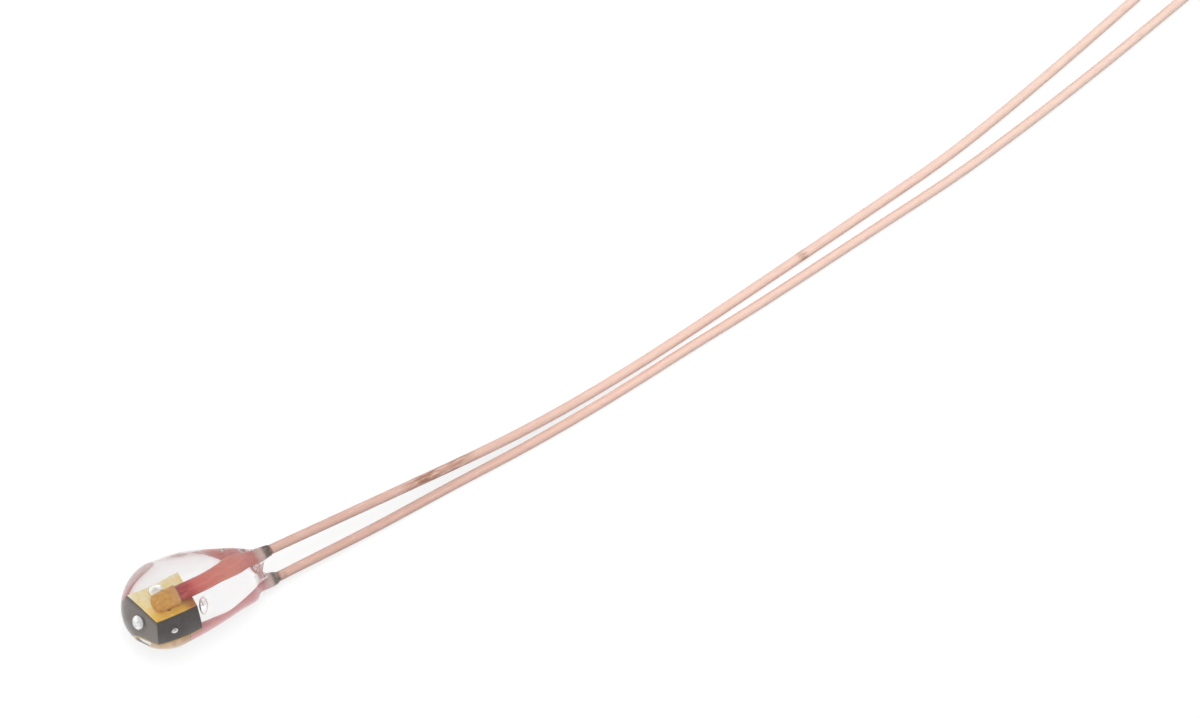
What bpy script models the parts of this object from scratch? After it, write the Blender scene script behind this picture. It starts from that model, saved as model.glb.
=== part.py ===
"""Glass-sealed thermistor: a chip between two wire leads, lying on a table.

A small chip of dark sintered oxide has a gold film on its two faces. A stiff round wire is
bonded to each film with a dab of fired gold paste, and the whole head is sealed in a drop of
clear glass. The glass narrows to a flat neck round both wires, with a round valley between them
and a short collar on each wire. The two long wires come down to the table and bend gently.

The bead's own frame has +X along the wires, away from the rounded nose, and its origin in the
middle of the fattest section. Everything hangs from the empty bead_frame, which is turned so
that the whole part lies along the world's X axis, with the world's origin on the table.
"""

from math import atan2, cos, degrees, hypot, pi, radians, sin

import bmesh
import bpy
import numpy as np
from mathutils import Euler, Vector

MM = 0.001

# Clearances: the real pieces are fired together, so these are only hair gaps.
SEAT_GAP = 0.006 * MM
GLASS_GAP = 0.010 * MM

# Chip and its gold films
CHIP_LENGTH = 0.90 * MM
CHIP_WIDTH = 0.649 * MM
CHIP_THICKNESS = 0.482 * MM
CHIP_EDGE = 0.012 * MM
FILM_THICKNESS = 0.016 * MM
FILM_MARGIN = 0.008 * MM
CHIP_AHEAD = 0.149 * MM
CHIP_ASIDE = -0.091 * MM
CHIP_DROP = 0.427 * MM
CHIP_ROLL = 37.3
CHIP_SKEW = 0.3

# Wires
LEAD_DIAMETER = 0.25 * MM
LEAD_OUTSIDE = 38.1 * MM
LEAD_SIDE_SHIFT = 0.06 * MM
LEAD_INSET = 0.23 * MM
LEAD_SIDES = 16
LEAD_STEP = 0.5 * MM
LEAD_STATIONS_INSIDE = 15
EXIT_SPACING = 1.146 * MM
UPPER_EXIT_PAST_NECK = 0.06 * MM
LOWER_EXIT_PAST_NECK = 0.20 * MM

# How far from the glass each wire reaches the table
UPPER_TOUCHDOWN = 14.5 * MM
LOWER_TOUCHDOWN = 4.6 * MM

# The upper wire's heading in degrees, seen from above and counted from the bead's axis, at shares
# of the wire's length outside the glass
WIRE_HEADINGS = (
    (0.016, -1.3),
    (0.13, -1.1),
    (0.27, 4.9),
    (0.37, 7.5),
    (0.51, 7.7),
    (0.59, 12.3),
    (0.68, 14.3),
    (1.00, 16.2),
)

# The clear gap from it to the lower wire, in wire diameters, at the same kind of shares
WIRE_GAPS = (
    (0.07, 1.41),
    (0.16, 0.67),
    (0.24, 0.41),
    (0.31, 0.35),
    (0.39, 0.66),
    (0.52, 0.98),
    (0.71, 2.06),
    (1.00, 3.29),
)

# Dabs of gold paste that bond the wires to the films
DAB_LENGTH = 0.35 * MM
DAB_CHEEK = 0.02 * MM
DAB_SKIN = 0.025 * MM
DAB_ROUNDING = 0.05 * MM
DAB_FACETS = 2

# Glass
HEAD_SPREAD_HALF = 1.215 * MM
HEAD_FLAT_HALF = 1.082 * MM
NOSE_LENGTH = 1.19 * MM
NOSE_BLUNTNESS = 2.0
NOSE_RISE = 0.045 * MM
NECK_DISTANCE = 2.96 * MM
NECK_DROP = 0.315 * MM
NECK_SHIFT = -0.28 * MM
NECK_SKIN = 0.06 * MM
NECK_CHEEK = 0.045 * MM
VALLEY_WALL = 0.06 * MM
VALLEY_DEPTH = 0.20 * MM
COLLAR_LENGTH = 0.42 * MM
COLLAR_SKIN = 0.10 * MM
COLLAR_LIP = 0.035 * MM
BEAD_SIDES = 44
NOSE_RINGS = 12
BODY_RINGS = 27
COLLAR_RINGS = 6
COLLAR_SIDES = 24
VALLEY_SIDES = 40

# The bead between its fattest section (0) and its neck (1): place along it, then how much of the
# extra size remains along the spread of the wires and across it, and how much of the sideways
# and downward shift is done
BEAD_TAPER = (
    (0.00, 1.00, 1.00, 0.00, 0.00),
    (0.24, 0.945, 0.92, 0.08, 0.00),
    (0.45, 0.71, 0.78, 0.29, 0.02),
    (0.66, 0.465, 0.505, 0.70, 0.22),
    (0.81, 0.13, 0.37, 0.94, 0.58),
    (1.00, 0.00, 0.00, 1.00, 1.00),
)

# Heading of the bead on the table, which lays the whole part along the world's X axis
BEAD_HEADING = -7.2

# How far cutters reach past what they cut, the specks of edge that are merged after a cut, and
# the angles up to which faces are shaded as one
POCKET_OVERLAP = 0.03 * MM
BORE_OVERRUN = 0.5 * MM
MERGE_REACH = 0.0005 * MM
SMOOTH_METAL = 35
SMOOTH_GLASS = 40

# Sizes that follow from the ones above
LEAD_RADIUS = LEAD_DIAMETER / 2
STACK_HALF = CHIP_THICKNESS / 2 + SEAT_GAP + FILM_THICKNESS
LEAD_HEIGHT_ON_CHIP = STACK_HALF + SEAT_GAP + LEAD_RADIUS
LEAD_TIP = CHIP_AHEAD - CHIP_LENGTH / 2 + LEAD_INSET
SEAT_END = CHIP_AHEAD + CHIP_LENGTH / 2
UPPER_EXIT = NECK_DISTANCE + UPPER_EXIT_PAST_NECK
LOWER_EXIT = NECK_DISTANCE + LOWER_EXIT_PAST_NECK
NECK_SPREAD_HALF = EXIT_SPACING / 2 + LEAD_RADIUS + NECK_SKIN
NECK_FLAT_HALF = LEAD_RADIUS + NECK_CHEEK
CHIP_PLACE = Vector((CHIP_AHEAD, CHIP_ASIDE, -CHIP_DROP))
HEAD_HEIGHT = hypot(HEAD_SPREAD_HALF * cos(radians(CHIP_ROLL)), HEAD_FLAT_HALF * sin(radians(CHIP_ROLL)))
ROLL = Euler((-radians(CHIP_ROLL), 0, 0)).to_matrix()


def clear_scene():
    for obj in list(bpy.data.objects):
        bpy.data.objects.remove(obj, do_unlink=True)


def smooth_through(stations, at):
    """A curve through (place, value) stations that never overshoots them."""
    places, values = np.array(stations, float).T
    steps = np.diff(places)
    slopes = np.diff(values) / steps
    tangents = np.empty(len(places))
    tangents[0] = slopes[0]
    tangents[-1] = slopes[-1]
    for i in range(1, len(places) - 1):
        before, after = slopes[i - 1], slopes[i]
        if before * after <= 0:
            tangents[i] = 0
            continue
        near = 2 * steps[i] + steps[i - 1]
        far = steps[i] + 2 * steps[i - 1]
        tangents[i] = (near + far) / (near / before + far / after)
    at = np.clip(at, places[0], places[-1])
    i = np.clip(np.searchsorted(places, at, side="right") - 1, 0, len(steps) - 1)
    t = (at - places[i]) / steps[i]
    rise = t * t * (3 - 2 * t)
    leave = t * (1 - t) ** 2 * steps[i] * tangents[i]
    arrive = t * t * (t - 1) * steps[i] * tangents[i + 1]
    return values[i] + rise * (values[i + 1] - values[i]) + leave + arrive


def link(name, mesh, parent):
    obj = bpy.data.objects.new(name, mesh)
    bpy.context.scene.collection.objects.link(obj)
    obj.parent = parent
    return obj


def frame(name, parent=None, location=(0, 0, 0), turn=(0, 0, 0)):
    empty = link(name, None, parent)
    empty.location = location
    empty.rotation_euler = [radians(angle) for angle in turn]
    return empty


def object_from(name, mesh_tool, parent):
    """A mesh object from a bmesh that another function filled, with its faces turned outward."""
    bmesh.ops.recalc_face_normals(mesh_tool, faces=mesh_tool.faces)
    mesh = bpy.data.meshes.new(name)
    mesh_tool.to_mesh(mesh)
    mesh_tool.free()
    return link(name, mesh, parent)


def helper(obj):
    obj.hide_render = True
    obj.display_type = "WIRE"
    return obj


def shade_round(obj, angle=SMOOTH_METAL):
    obj.data.shade_smooth()
    obj.data.set_sharp_from_angle(angle=radians(angle))


def paint(obj, name, colour, metallic=0.0, roughness=0.5, transmission=0.0, ior=1.45):
    material = bpy.data.materials.get(name) or bpy.data.materials.new(name)
    material.use_nodes = True
    shader = material.node_tree.nodes["Principled BSDF"]
    shader.inputs["Base Color"].default_value = (*colour, 1)
    shader.inputs["Metallic"].default_value = metallic
    shader.inputs["Roughness"].default_value = roughness
    shader.inputs["Transmission Weight"].default_value = transmission
    shader.inputs["IOR"].default_value = ior
    obj.data.materials.clear()
    obj.data.materials.append(material)


def boolean(obj, other, operation):
    """One cut or union, and a merge of the specks of edge that grazing faces leave."""
    step = obj.modifiers.new(f"{operation.lower()} {other.name}", "BOOLEAN")
    step.operation = operation
    step.solver = "EXACT"
    step.object = other
    merge = obj.modifiers.new(f"merge after {other.name}", "WELD")
    merge.merge_threshold = MERGE_REACH


def block(name, parent, size, place=(0, 0, 0), rounding=0.0, segments=1, grow=0.0):
    """A block with its edges rounded, grown on every side when it is a pocket for such a block."""
    tool = bmesh.new()
    bmesh.ops.create_cube(tool, size=1)
    grown = [length + 2 * grow for length in size]
    bmesh.ops.scale(tool, vec=grown, verts=tool.verts)
    bmesh.ops.translate(tool, vec=place, verts=tool.verts)
    if rounding:
        bmesh.ops.bevel(
            tool,
            geom=tool.edges[:],
            offset=rounding + grow,
            segments=segments,
            profile=0.5,
            affect="EDGES",
        )
    return object_from(name, tool, parent)


def ring(tool, centre, along, spread, radius_spread, radius_flat, sides):
    """One oval ring of vertices, square to a direction."""
    along = Vector(along).normalized()
    flat = along.cross(Vector(spread)).normalized()
    spread = flat.cross(along).normalized()
    corners = []
    for i in range(sides):
        angle = 2 * pi * i / sides
        offset = spread * (radius_spread * cos(angle)) + flat * (radius_flat * sin(angle))
        corners.append(tool.verts.new(Vector(centre) + offset))
    return corners


def skin(tool, rings):
    """Side walls between rings of equal count."""
    for lower, upper in zip(rings, rings[1:]):
        for i in range(len(lower)):
            j = (i + 1) % len(lower)
            tool.faces.new((lower[i], lower[j], upper[j], upper[i]))


def lead_seat(side):
    """A wire's tip on the chip, in the bead's frame: side is +1 on the upper face, -1 below."""
    on_chip = Vector((0, -LEAD_SIDE_SHIFT, side * LEAD_HEIGHT_ON_CHIP))
    seat = CHIP_PLACE + ROLL @ on_chip
    seat.x = LEAD_TIP
    return seat


def lead_exit(side, distance):
    """Where a wire's axis leaves the glass, in the bead's frame."""
    spread = ROLL @ Vector((0, 0, side * EXIT_SPACING / 2))
    return Vector((distance, NECK_SHIFT, -NECK_DROP)) + spread


def lead_inside(side, exit_distance):
    """The axis of one wire in the glass: flat on its film, then spreading to the neck."""
    seat, leaves = lead_seat(side), lead_exit(side, exit_distance)
    places = np.linspace(seat.x, leaves.x, LEAD_STATIONS_INSIDE)
    sideways = smooth_through(((seat.x, seat.y), (SEAT_END, seat.y), (leaves.x, leaves.y)), places)
    height = smooth_through(((seat.x, seat.z), (SEAT_END, seat.z), (leaves.x, leaves.z)), places)
    return np.column_stack((places, sideways, height))


def fall_to_table(from_height, touchdown, walked):
    table = LEAD_RADIUS - HEAD_HEIGHT
    return smooth_through(((0, from_height), (touchdown, table), (LEAD_OUTSIDE, table)), walked)


def lead_axes():
    """The axes of both wires, in the bead's frame. The lower one keeps its gap to the upper one."""
    upper, lower = lead_inside(1, UPPER_EXIT), lead_inside(-1, LOWER_EXIT)
    count = int(round(LEAD_OUTSIDE / LEAD_STEP))
    walked = np.linspace(0, LEAD_OUTSIDE, count + 1)
    stride = walked[1]
    run = upper[-1] - upper[-2]
    bends = [(0, degrees(atan2(run[1], run[0])))]
    bends += [(share * LEAD_OUTSIDE, angle) for share, angle in WIRE_HEADINGS]
    heading = np.radians(smooth_through(bends, walked))
    course = (heading[1:] + heading[:-1]) / 2
    plan_x = upper[-1][0] + np.concatenate(([0], stride * np.cumsum(np.cos(course))))
    plan_y = upper[-1][1] + np.concatenate(([0], stride * np.cumsum(np.sin(course))))
    upper_height = fall_to_table(upper[-1][2], UPPER_TOUCHDOWN, walked)
    upper_outside = np.column_stack((plan_x, plan_y, upper_height))

    stagger = lower[-1][0] - upper[-1][0]
    apart_at_glass = upper[-1][1] - lower[-1][1]
    apart = [(0, apart_at_glass)]
    apart += [(share * LEAD_OUTSIDE, LEAD_DIAMETER * (1 + gap)) for share, gap in WIRE_GAPS]
    offset = smooth_through(apart, walked)
    lead_on = stagger * (1 - walked / LEAD_OUTSIDE)
    lower_outside = np.column_stack(
        (
            plan_x + offset * np.sin(heading) + lead_on * np.cos(heading),
            plan_y - offset * np.cos(heading) + lead_on * np.sin(heading),
            fall_to_table(lower[-1][2], LOWER_TOUCHDOWN, walked),
        )
    )
    return np.vstack((upper, upper_outside[1:])), np.vstack((lower, lower_outside[1:]))


def tube(name, parent, points, radius, sides=LEAD_SIDES):
    """A round wire or bore along points, square-cut at both ends."""
    points = [Vector(point) for point in points]
    tool = bmesh.new()
    rings = []
    for i, point in enumerate(points):
        ahead = points[min(i + 1, len(points) - 1)]
        behind = points[max(i - 1, 0)]
        rings.append(ring(tool, point, ahead - behind, (0, 0, 1), radius, radius, sides))
    skin(tool, rings)
    tool.faces.new(rings[0])
    tool.faces.new(rings[-1])
    return object_from(name, tool, parent)


def make_chip(bead_frame):
    """The sintered block and the gold film on each of its faces."""
    chip_frame = frame("chip_frame", bead_frame, CHIP_PLACE, (-CHIP_ROLL, 0, 0))
    sawn = frame("sawn_block_frame", chip_frame, (0, 0, 0), (0, 0, CHIP_SKEW))
    chip = block(
        "sensing_chip", sawn, (CHIP_LENGTH, CHIP_WIDTH, CHIP_THICKNESS), rounding=CHIP_EDGE, segments=2
    )
    paint(chip, "dark oxide ceramic", (0.10, 0.085, 0.08), roughness=0.6)
    films = []
    for name, side in (("upper_electrode", 1), ("lower_electrode", -1)):
        middle = side * (CHIP_THICKNESS / 2 + SEAT_GAP + FILM_THICKNESS / 2)
        size = (CHIP_LENGTH - 2 * FILM_MARGIN, CHIP_WIDTH - 2 * FILM_MARGIN, FILM_THICKNESS)
        film = block(name, sawn, size, (0, 0, middle))
        paint(film, "gold film", (0.80, 0.50, 0.16), metallic=1.0, roughness=0.35)
        films.append(film)
    return chip_frame, sawn, chip, films


def make_dab(name, chip_frame, side, bore, grow=0.0):
    """A dab of fired paste over a wire's tip: a rounded loaf with a blind bore for the wire."""
    reach = LEAD_TIP - DAB_SKIN - CHIP_AHEAD
    height = LEAD_DIAMETER + SEAT_GAP + DAB_SKIN
    foot = STACK_HALF + SEAT_GAP
    sunk = POCKET_OVERLAP if grow else 0.0
    width = LEAD_DIAMETER + 2 * DAB_CHEEK
    place = (reach + DAB_LENGTH / 2, -LEAD_SIDE_SHIFT, side * (foot + (height - sunk) / 2))
    tool = bmesh.new()
    bmesh.ops.create_cube(tool, size=1)
    size = (DAB_LENGTH + 2 * grow, width + 2 * grow, height + sunk + 2 * grow)
    bmesh.ops.scale(tool, vec=size, verts=tool.verts)
    bmesh.ops.translate(tool, vec=place, verts=tool.verts)
    away = [edge for edge in tool.edges if max(side * v.co.z for v in edge.verts) > foot + height / 2]
    bmesh.ops.bevel(
        tool,
        geom=away,
        offset=DAB_ROUNDING + grow,
        segments=DAB_FACETS,
        profile=0.5,
        affect="EDGES",
        clamp_overlap=True,
    )
    dab = object_from(name, tool, chip_frame)
    if bore:
        boolean(dab, bore, "DIFFERENCE")
        shade_round(dab)
        paint(dab, "fired gold paste", (0.62, 0.36, 0.12), metallic=1.0, roughness=0.5)
    return dab


def bead_section(place):
    """Centre and half sizes of the glass at a place along the bead's frame."""
    if place < 0:
        share = -place / NOSE_LENGTH
        shrink = max(1 - share**NOSE_BLUNTNESS, 0) ** (1 / NOSE_BLUNTNESS)
        centre = Vector((place, 0, NOSE_RISE * share * share))
        return centre, HEAD_SPREAD_HALF * shrink, HEAD_FLAT_HALF * shrink
    share = place / NECK_DISTANCE
    spread, flat, sideways, down = (
        float(smooth_through([(row[0], row[column]) for row in BEAD_TAPER], share))
        for column in (1, 2, 3, 4)
    )
    centre = Vector((place, NECK_SHIFT * sideways, -NECK_DROP * down))
    half_spread = NECK_SPREAD_HALF + (HEAD_SPREAD_HALF - NECK_SPREAD_HALF) * spread
    half_flat = NECK_FLAT_HALF + (HEAD_FLAT_HALF - NECK_FLAT_HALF) * flat
    return centre, half_spread, half_flat


def make_bead_body(bead_frame):
    """The outer drop of glass: a blunt round nose, a fat head and a taper to the flat neck."""
    turns = np.linspace(0, pi / 2, NOSE_RINGS + 1)[1:-1]
    nose = [-NOSE_LENGTH * cos(turn) ** (2 / NOSE_BLUNTNESS) for turn in turns]
    body = list(np.linspace(0, NECK_DISTANCE, BODY_RINGS))
    spread = ROLL @ Vector((0, 0, 1))
    tool = bmesh.new()
    rings = []
    for place in nose + body:
        centre, half_spread, half_flat = bead_section(place)
        rings.append(ring(tool, centre, (1, 0, 0), spread, half_spread, half_flat, BEAD_SIDES))
    skin(tool, rings)
    tip = tool.verts.new(Vector((-NOSE_LENGTH, 0, NOSE_RISE)))
    first = rings[0]
    for i in range(BEAD_SIDES):
        tool.faces.new((tip, first[(i + 1) % BEAD_SIDES], first[i]))
    tool.faces.new(rings[-1])
    return object_from("glass_bead", tool, bead_frame)


def make_valley_cutter(bead_frame):
    """A round bar across the neck, which leaves the rounded valley between the two wires."""
    radius = EXIT_SPACING / 2 - LEAD_RADIUS - VALLEY_WALL
    centre = Vector((NECK_DISTANCE - VALLEY_DEPTH + radius, NECK_SHIFT, -NECK_DROP))
    across = ROLL @ Vector((0, 2 * NECK_FLAT_HALF, 0))
    ends = (centre - across, centre + across)
    return helper(tube("valley_cutter", bead_frame, ends, radius, VALLEY_SIDES))


def make_collar(name, bead_frame, axis):
    """The short sleeve of glass that creeps out along a wire."""
    end = axis[-1]
    along = (axis[-1] - axis[0]).normalized()
    start = end - along * COLLAR_LENGTH
    tool = bmesh.new()
    rings = []
    for share in np.linspace(0, 1, COLLAR_RINGS):
        radius = LEAD_RADIUS + COLLAR_LIP + (COLLAR_SKIN - COLLAR_LIP) * (1 - share) ** 2
        place = start + along * (COLLAR_LENGTH * share)
        rings.append(ring(tool, place, along, (0, 0, 1), radius, radius, COLLAR_SIDES))
    skin(tool, rings)
    tool.faces.new(rings[0])
    tool.faces.new(rings[-1])
    return helper(object_from(name, tool, bead_frame))


def settle_on_origin(bead_frame, pieces):
    """Puts the world's origin on the table, under the middle of the whole part."""
    bpy.context.view_layer.update()
    depsgraph = bpy.context.evaluated_depsgraph_get()
    spots = []
    for piece in pieces:
        finished = piece.evaluated_get(depsgraph)
        spots += [piece.matrix_world @ vertex.co for vertex in finished.data.vertices]
    for axis in (0, 1):
        values = [spot[axis] for spot in spots]
        bead_frame.location[axis] -= (min(values) + max(values)) / 2


def main():
    clear_scene()
    bead_frame = frame("bead_frame", None, (0, 0, HEAD_HEIGHT), (0, 0, BEAD_HEADING))
    chip_frame, sawn, chip, films = make_chip(bead_frame)

    glass = make_bead_body(bead_frame)
    boolean(glass, make_valley_cutter(bead_frame), "DIFFERENCE")

    leads, dabs, cutters = [], [], []
    pocket_size = (CHIP_LENGTH, CHIP_WIDTH, 2 * STACK_HALF)
    cutters.append(block("chip_pocket", sawn, pocket_size, grow=GLASS_GAP))
    for word, side, points in zip(("upper", "lower"), (1, -1), lead_axes()):
        lead = tube(f"{word}_lead", bead_frame, points, LEAD_RADIUS)
        shade_round(lead)
        paint(lead, "copper clad wire", (0.72, 0.42, 0.33), metallic=1.0, roughness=0.35)
        leads.append(lead)

        inner = [Vector(point) for point in points[:LEAD_STATIONS_INSIDE]]
        toward_exit = (inner[-1] - inner[-2]).normalized()
        boolean(glass, make_collar(f"{word}_collar", bead_frame, inner[-2:]), "UNION")

        beyond = inner[-1] + toward_exit * BORE_OVERRUN
        before = inner[0] - Vector((GLASS_GAP, 0, 0))
        bore_points = [before] + inner[1:] + [beyond]
        bore = helper(tube(f"{word}_bore", bead_frame, bore_points, LEAD_RADIUS + GLASS_GAP))
        dabs.append(make_dab(f"{word}_bond", chip_frame, side, bore))
        cutters.append(make_dab(f"{word}_bond_pocket", chip_frame, side, None, grow=GLASS_GAP))
        cutters.append(bore)

    for cutter in cutters:
        boolean(glass, helper(cutter), "DIFFERENCE")
    shade_round(glass, SMOOTH_GLASS)
    paint(glass, "clear glass", (0.98, 0.99, 0.98), roughness=0.02, transmission=1.0, ior=1.52)

    settle_on_origin(bead_frame, [glass, chip, *films, *dabs, *leads])


main()
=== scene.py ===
from math import atan2, cos, degrees, pi, radians, sin

import bmesh
import bpy
from mathutils import Euler, Matrix, Vector


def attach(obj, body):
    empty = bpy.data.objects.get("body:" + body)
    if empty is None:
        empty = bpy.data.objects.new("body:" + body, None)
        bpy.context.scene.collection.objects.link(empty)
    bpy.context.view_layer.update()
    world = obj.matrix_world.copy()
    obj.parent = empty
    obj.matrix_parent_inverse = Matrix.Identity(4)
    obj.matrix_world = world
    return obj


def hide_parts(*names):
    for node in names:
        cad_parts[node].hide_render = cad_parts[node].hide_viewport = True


mm = 0.001

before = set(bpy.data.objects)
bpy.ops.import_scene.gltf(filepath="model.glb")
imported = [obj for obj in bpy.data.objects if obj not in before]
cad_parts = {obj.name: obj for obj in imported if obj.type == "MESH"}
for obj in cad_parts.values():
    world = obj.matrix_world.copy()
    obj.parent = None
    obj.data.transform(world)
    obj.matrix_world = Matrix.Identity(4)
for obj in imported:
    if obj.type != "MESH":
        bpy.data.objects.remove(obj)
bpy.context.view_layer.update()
print("packed part loaded")


# Sizes are in millimetres. The bead's own frame has X along the wires, away from the nose.
# The rolled frame is the same one turned about X with the chip.
bead = {
    "place": (-19.9337, 0.5286, 1.1679),
    "heading": -7.2,
    "roll": 37.3,
    "headSpread": 1.215,
    "headFlat": 1.082,
    "noseLength": 1.165,
    "noseBluntness": 1.94,
    "noseRise": 0.012,
    "noseShift": 0.035,
    "neckDistance": 2.96,
    "neckDrop": 0.315,
    "neckShift": -0.28,
    "neckSpread": 0.758,
    "neckFlat": 0.17,
    # share of the neck's distance, extra spread, extra flat size, sideways share, downward share
    "taper": (
        (0.00, 1.000, 1.00, 0.00, 0.00),
        (0.24, 0.945, 0.92, 0.08, 0.00),
        (0.45, 0.710, 0.78, 0.29, 0.02),
        (0.66, 0.465, 0.505, 0.70, 0.22),
        (0.81, 0.130, 0.37, 0.94, 0.58),
        (1.00, 0.000, 0.00, 1.00, 1.00),
    ),
}

beadMatrix = (
    Matrix.Translation(Vector(bead["place"]) * mm)
    @ Matrix.Rotation(radians(bead["heading"]), 4, "Z")
)
rollMatrix = Matrix.Rotation(-radians(bead["roll"]), 4, "X")


def smoothThrough(stations, at):  # a curve through (place, value) pairs that never overshoots
    places = [station[0] for station in stations]
    values = [station[1] for station in stations]
    steps = [b - a for a, b in zip(places, places[1:])]
    slopes = [(d - c) / step for c, d, step in zip(values, values[1:], steps)]
    tangents = [slopes[0]]
    for i in range(1, len(slopes)):
        before, after = slopes[i - 1], slopes[i]
        if before * after <= 0:
            tangents.append(0)
            continue
        near = 2 * steps[i] + steps[i - 1]
        far = steps[i] + 2 * steps[i - 1]
        tangents.append((near + far) / (near / before + far / after))
    tangents.append(slopes[-1])
    at = min(max(at, places[0]), places[-1])
    i = max(k for k in range(len(steps)) if places[k] <= at)
    t = (at - places[i]) / steps[i]
    rise = t * t * (3 - 2 * t)
    leave = t * (1 - t) ** 2 * steps[i] * tangents[i]
    arrive = t * t * (t - 1) * steps[i] * tangents[i + 1]
    return values[i] + rise * (values[i + 1] - values[i]) + leave + arrive


def nothingSelected():
    if bpy.context.mode != "OBJECT":
        bpy.ops.object.mode_set(mode="OBJECT")
    bpy.ops.object.select_all(action="DESELECT")


def makeActive(piece):
    nothingSelected()
    piece.select_set(True)
    bpy.context.view_layer.objects.active = piece


def editAll():
    bpy.ops.object.mode_set(mode="EDIT")
    bpy.ops.mesh.select_all(action="SELECT")


def leaveEdit():  # with every face turned outwards
    bpy.ops.mesh.select_all(action="SELECT")
    bpy.ops.mesh.normals_make_consistent(inside=False)
    bpy.ops.object.mode_set(mode="OBJECT")


def layInPlace(piece, matrix):  # the piece's place goes into its mesh
    makeActive(piece)
    piece.matrix_world = matrix
    bpy.ops.object.transform_apply(location=True, rotation=True, scale=True)


def roundOff(piece, levels):  # an applied subdivision surface, shaded smooth
    makeActive(piece)
    rounding = piece.modifiers.new("round", "SUBSURF")
    rounding.levels = levels
    rounding.render_levels = levels
    bpy.ops.object.modifier_apply(modifier=rounding.name)
    bpy.ops.object.shade_smooth()


def pick(piece, test, kind="verts"):  # in edit mode: selects only what passes the test
    mode = {"verts": "VERT", "edges": "EDGE", "faces": "FACE"}[kind]
    bpy.ops.mesh.select_all(action="DESELECT")
    bpy.ops.mesh.select_mode(type=mode)
    tool = bmesh.from_edit_mesh(piece.data)
    for element in getattr(tool, kind):
        if test(element):
            element.select_set(True)
    tool.select_flush_mode()
    bmesh.update_edit_mesh(piece.data)


wires = {
    "diameter": 0.25,
    "outside": 38.1,
    "step": 0.5,
    "insideStations": 15,
    "seatFrom": 0.23,  # from the chip's end to the wire's end
    "seatAside": -0.06,
    "sides": 28,
    "pathSteps": 4,
    "join": 0.001,
    "sharpEdge": 1,  # radians, which only the rims of the cut ends have
    "burr": 0.015,
    "burrSteps": 2,
    "exitSpacing": 1.146,
    "upperExit": 3.02,
    "lowerExit": 3.16,
    "upperTouchdown": 14.5,
    "lowerTouchdown": 4.6,
    # place along the bead, how far the lower wire bows off its plain run
    "lowerBow": ((0.35, 0.0), (0.75, 0.075), (1.5, 0.070), (3.16, 0.0)),
    # share of the outside length, heading in degrees counted from the bead's axis
    "headings": (
        (0.016, -1.3),
        (0.13, -1.1),
        (0.27, 4.9),
        (0.37, 7.5),
        (0.51, 7.7),
        (0.59, 12.3),
        (0.68, 14.3),
        (1.00, 16.2),
    ),
    # share of the outside length, clear gap between the wires in wire diameters
    "gaps": (
        (0.07, 1.41),
        (0.16, 0.67),
        (0.24, 0.41),
        (0.31, 0.35),
        (0.39, 0.66),
        (0.52, 0.98),
        (0.71, 2.06),
        (1.00, 3.29),
    ),
}

chip = {
    "ahead": 0.149,
    "aside": -0.091,
    "drop": 0.427,
    "length": 0.9,
    "stackHalf": 0.263,  # half the chip's thickness with one film
    "seatGap": 0.006,
}


def insideRun(side, exitPlace):  # a wire's axis in the glass, from its film out to the neck
    turned = rollMatrix.to_3x3()
    lift = side * (chip["stackHalf"] + chip["seatGap"] + wires["diameter"] / 2)
    seat = Vector((chip["ahead"], chip["aside"], -chip["drop"]))
    seat += turned @ Vector((0, wires["seatAside"], lift))
    seat.x = chip["ahead"] - chip["length"] / 2 + wires["seatFrom"]
    leaves = Vector((exitPlace, bead["neckShift"], -bead["neckDrop"]))
    leaves += turned @ Vector((0, 0, side * wires["exitSpacing"] / 2))
    seatEnd = chip["ahead"] + chip["length"] / 2
    spots = []
    for i in range(wires["insideStations"]):
        place = seat.x + (leaves.x - seat.x) * i / (wires["insideStations"] - 1)
        sideways = smoothThrough(((seat.x, seat.y), (seatEnd, seat.y), (leaves.x, leaves.y)), place)
        height = smoothThrough(((seat.x, seat.z), (seatEnd, seat.z), (leaves.x, leaves.z)), place)
        bow = smoothThrough(wires["lowerBow"], place) if side < 0 else 0
        spots.append(Vector((place, sideways, height)) - turned @ Vector((0, bow, 0)))
    return spots


def fallToTable(height, touchdown, walked):
    table = wires["diameter"] / 2 - bead["place"][2]
    return smoothThrough(((0, height), (touchdown, table), (wires["outside"], table)), walked)


def wireRoutes():  # both axes in the bead's frame; the lower wire keeps its gap to the upper one
    upper, lower = insideRun(1, wires["upperExit"]), insideRun(-1, wires["lowerExit"])
    count = round(wires["outside"] / wires["step"])
    walks = [wires["outside"] * i / count for i in range(count + 1)]
    run = upper[-1] - upper[-2]
    bends = [(0, degrees(atan2(run.y, run.x)))]
    bends += [(share * wires["outside"], angle) for share, angle in wires["headings"]]
    heading = [radians(smoothThrough(bends, walked)) for walked in walks]
    apart = [(0, upper[-1].y - lower[-1].y)]
    apart += [
        (share * wires["outside"], wires["diameter"] * (1 + gap)) for share, gap in wires["gaps"]
    ]
    stagger = lower[-1].x - upper[-1].x
    plan = upper[-1].copy()
    upperOut, lowerOut = [], []
    for i, walked in enumerate(walks):
        if i:
            course = (heading[i] + heading[i - 1]) / 2
            plan += Vector((cos(course), sin(course), 0)) * (walks[i] - walks[i - 1])
        offset = smoothThrough(apart, walked)
        ahead = stagger * (1 - walked / wires["outside"])
        turn = heading[i]
        upperHeight = fallToTable(upper[-1].z, wires["upperTouchdown"], walked)
        lowerHeight = fallToTable(lower[-1].z, wires["lowerTouchdown"], walked)
        lowerX = plan.x + offset * sin(turn) + ahead * cos(turn)
        lowerY = plan.y - offset * cos(turn) + ahead * sin(turn)
        upperOut.append(Vector((plan.x, plan.y, upperHeight)))
        lowerOut.append(Vector((lowerX, lowerY, lowerHeight)))
    return upper + upperOut[1:], lower + lowerOut[1:]


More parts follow.
